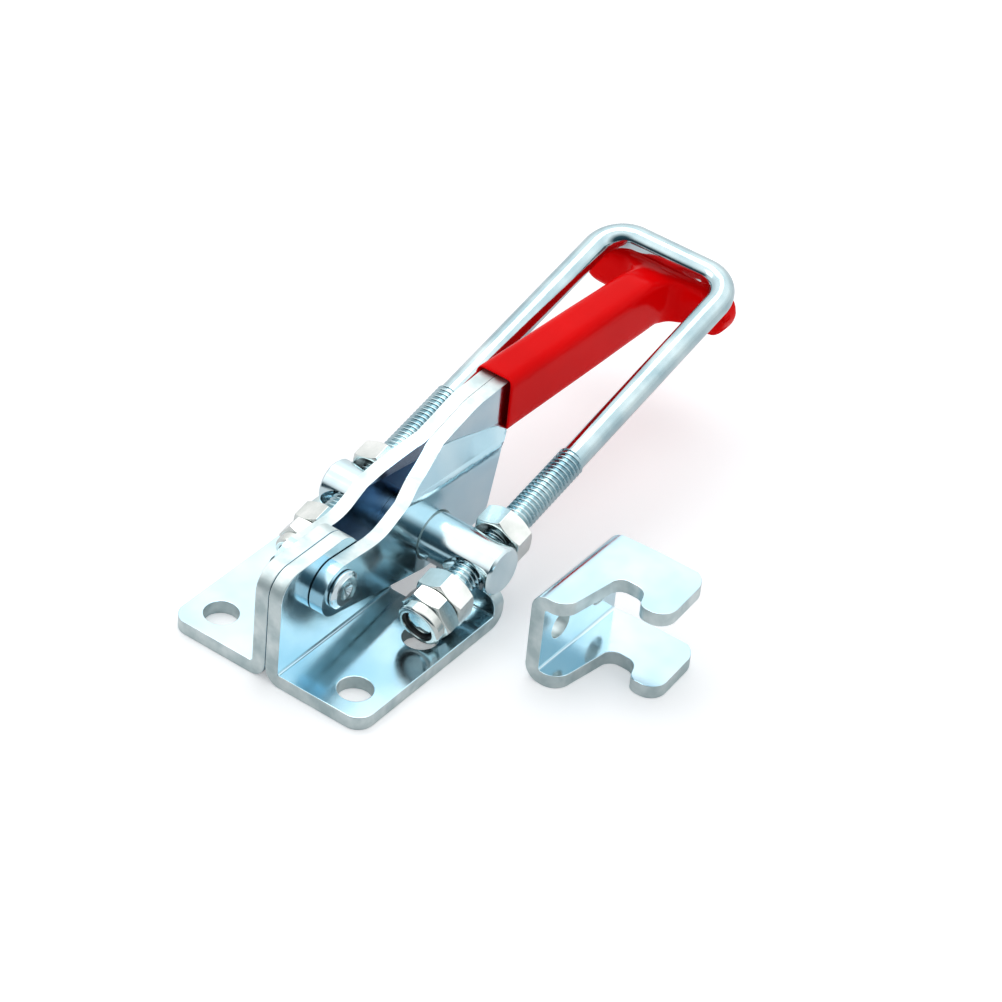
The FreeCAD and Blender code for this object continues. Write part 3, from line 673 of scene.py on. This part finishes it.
@dataclass
class Studio:
    """Pale floor, white surroundings with a dark room behind the camera, softboxes and the camera.

    Spans are where an effect starts and where it is full: the floor's along X in metres, and the room's in
    the direction that a mirror looks.
    """

    camera_place: Vector = field(default_factory=lambda: Vector((-0.41377, -0.30520, 0.43856)))
    right: Vector = field(default_factory=lambda: Vector((0.59504, -0.79946, 0.08240)))
    up: Vector = field(default_factory=lambda: Vector((0.45756, 0.42127, 0.78305)))
    ahead: Vector = field(default_factory=lambda: Vector((0.66073, 0.42825, -0.61647)))
    sensor: float = 36.0
    picture_pixels: float = 1002.0
    focal_pixels: float = 3600.0
    near_limit: float = 0.01
    floor_size: float = 3.0
    floor_centre: Triple = (0.05, 0.0, -0.01 * MM)
    floor_roughness: float = 0.55
    floor_specular: float = 0.2
    floor_colour: Triple = (0.86, 0.87, 0.88)
    floor_far_colour: Triple = (0.06, 0.09, 0.10)
    floor_far_span: Span = (-0.14, -0.34)
    floor_lift: float = 0.30
    room_side: Vector = field(default_factory=lambda: Vector((-0.84, -0.52, -0.02)).normalized())
    room_span: Span = (0.40, 0.82)
    room_colour: Triple = (0.03, 0.07, 0.09)
    horizon_front_span: Span = (-0.45, -0.80)
    horizon_height_span: Span = (0.42, 0.12)
    horizon_colour: Triple = (0.02, 0.045, 0.06)
    overhead_span: Span = (0.25, 0.60)
    overhead_strength: float = 1.42
    fill_colour: Triple = (0.97, 0.985, 1.0)
    fill_strength: float = 0.72

    def camera(self) -> None:
        """Sets the camera at the photograph's viewing angle."""
        data = bpy.data.cameras.new("camera")
        data.sensor_width = self.sensor
        data.lens = self.focal_pixels * self.sensor / self.picture_pixels
        data.clip_start = self.near_limit
        camera = bpy.data.objects.new("camera", data)
        bpy.context.scene.collection.objects.link(camera)
        axes = Matrix((self.right, self.up, -self.ahead)).transposed()
        camera.matrix_world = Matrix.Translation(self.camera_place) @ axes.to_4x4()
        bpy.context.scene.camera = camera

    def floor(self) -> None:
        """Adds the plain pale floor, a little brighter to the camera than it is to the latch.

        Polished metal sees it fade into the dark room on the camera's side.
        """
        bpy.ops.object.select_all(action="DESELECT")
        bpy.ops.mesh.primitive_plane_add(size=self.floor_size, location=self.floor_centre)
        plane = bpy.context.active_object
        plane.name = "studio_floor"
        material = bpy.data.materials.new("studio_floor")
        material.use_nodes = True
        nodes = NodeSheet(material.node_tree)
        path = nodes.add("ShaderNodeLightPath").outputs
        place = nodes.add("ShaderNodeTexCoord").outputs["Object"]
        axes = nodes.add("ShaderNodeSeparateXYZ", {"Vector": place}).outputs
        far = nodes.fade(axes["X"], self.floor_far_span)
        mirrored = nodes.calculate("MULTIPLY", far, path["Is Glossy Ray"])
        pale = nodes.blend(mirrored, rgba(self.floor_colour), rgba(self.floor_far_colour))
        lift = nodes.calculate("MULTIPLY", path["Is Camera Ray"], self.floor_lift)
        shader = material.node_tree.nodes["Principled BSDF"].inputs
        for name, term in (("Base Color", pale), ("Roughness", self.floor_roughness),
                           ("Specular IOR Level", self.floor_specular),
                           ("Emission Color", WHITE), ("Emission Strength", lift)):
            nodes.feed(shader[name], term)
        plane.data.materials.append(material)

    def world(self) -> None:
        """Plain white surroundings, which polished metal sees fading to a dark room on the camera's side."""
        world = bpy.data.worlds.new("studio")
        bpy.context.scene.world = world
        world.use_nodes = True
        world.node_tree.nodes.clear()
        nodes = NodeSheet(world.node_tree)
        direction = nodes.add("ShaderNodeTexCoord").outputs["Generated"]
        axes = nodes.add("ShaderNodeSeparateXYZ", {"Vector": direction}).outputs
        toward = nodes.add("ShaderNodeVectorMath", {0: direction, 1: self.room_side}, operation="DOT_PRODUCT")
        dark = nodes.fade(toward.outputs["Value"], self.room_span)
        room = nodes.blend(dark, WHITE, rgba(self.room_colour))
        height = nodes.calculate("ABSOLUTE", axes["Z"])
        front = nodes.fade(axes["X"], self.horizon_front_span, kind="SMOOTHSTEP")
        band = nodes.fade(height, self.horizon_height_span, kind="SMOOTHSTEP")
        horizon = nodes.blend(nodes.calculate("MULTIPLY", front, band), room, rgba(self.horizon_colour))
        overhead = nodes.fade(axes["Z"], self.overhead_span, (1.0, self.overhead_strength))
        mirror = nodes.add("ShaderNodeBackground", {"Color": horizon, "Strength": overhead})
        plain = nodes.add("ShaderNodeBackground",
                          {"Color": rgba(self.fill_colour), "Strength": self.fill_strength})
        backdrop = nodes.add("ShaderNodeBackground", {"Color": WHITE})
        path = nodes.add("ShaderNodeLightPath").outputs
        lit = nodes.add("ShaderNodeMixShader", {"Fac": path["Is Glossy Ray"], 1: plain.outputs["Background"],
                                                2: mirror.outputs["Background"]})
        seen = nodes.add("ShaderNodeMixShader", {"Fac": path["Is Camera Ray"], 1: lit.outputs["Shader"],
                                                 2: backdrop.outputs["Background"]})
        nodes.add("ShaderNodeOutputWorld", {"Surface": seen.outputs["Shader"]})

    def build(self) -> None:
        """Builds the whole studio."""
        self.camera()
        self.floor()
        self.world()
        Softbox("softbox_top", (0.25, 0.25, 0.95), (0.04, 0.0, 0.0), (0.75, 0.55), 1.9).build()
        Softbox("softbox_side", (-0.35, 0.75, 0.60), (0.04, 0.0, 0.02), (0.5, 0.5), 0.9).build()
        bpy.context.scene.view_settings.view_transform = "Standard"


def report(piece: bpy.types.Object) -> None:
    """Logs a finished piece with its face count."""
    LOG.info("%s: %d faces", piece.name, len(piece.data.polygons))


def main() -> None:
    """Builds the latch's pieces in order, then the studio round them."""
    logging.basicConfig(level=logging.INFO, format="%(message)s")
    finishes = Finishes.build(SurfaceGroups())
    for side, inward in (("left", -1.0), ("right", 1.0)):
        report(SheetMetal(f"{side}_base_plate", f"{side}_base_angle", Body.BASE).build(finishes))
        # The handle plates' faces towards each other get painted shade.
        report(SheetMetal(f"{side}_handle_plate", f"{side}_handle_sheet", Body.HANDLE,
                          shade_side=inward, shade_front=2.0 * MM).build(finishes))
    report(SheetMetal("catch_plate", "catch_channel", Body.BASE).build(finishes))
    report(Fastener("pivot_rivet", "rivet_dimpled", Body.BASE, "pin", 0.12 * MM).build(finishes.turned))
    report(Fastener("cross_pin", "cross_pin_turned", Body.LOOP, "pin", 0.12 * MM).build(finishes.turned))
    report(UBolt().build(finishes))
    for side in ("left", "right"):
        for kind in ("rear_nut", "front_nut", "lock_nut"):
            report(Fastener(f"{side}_{kind}", f"{side}_{kind}_chamfered", Body.LOOP, "nut",
                            0.18 * MM).build(finishes.nut))
        report(Fastener(f"{side}_nylon_ring", f"{side}_nylon_insert", Body.LOOP, "nylon",
                        0.15 * MM).build(finishes.nylon))
    report(Grip().build(finishes))
    Studio().build()
    bpy.context.view_layer.update()


if __name__ == "__main__":
    main()
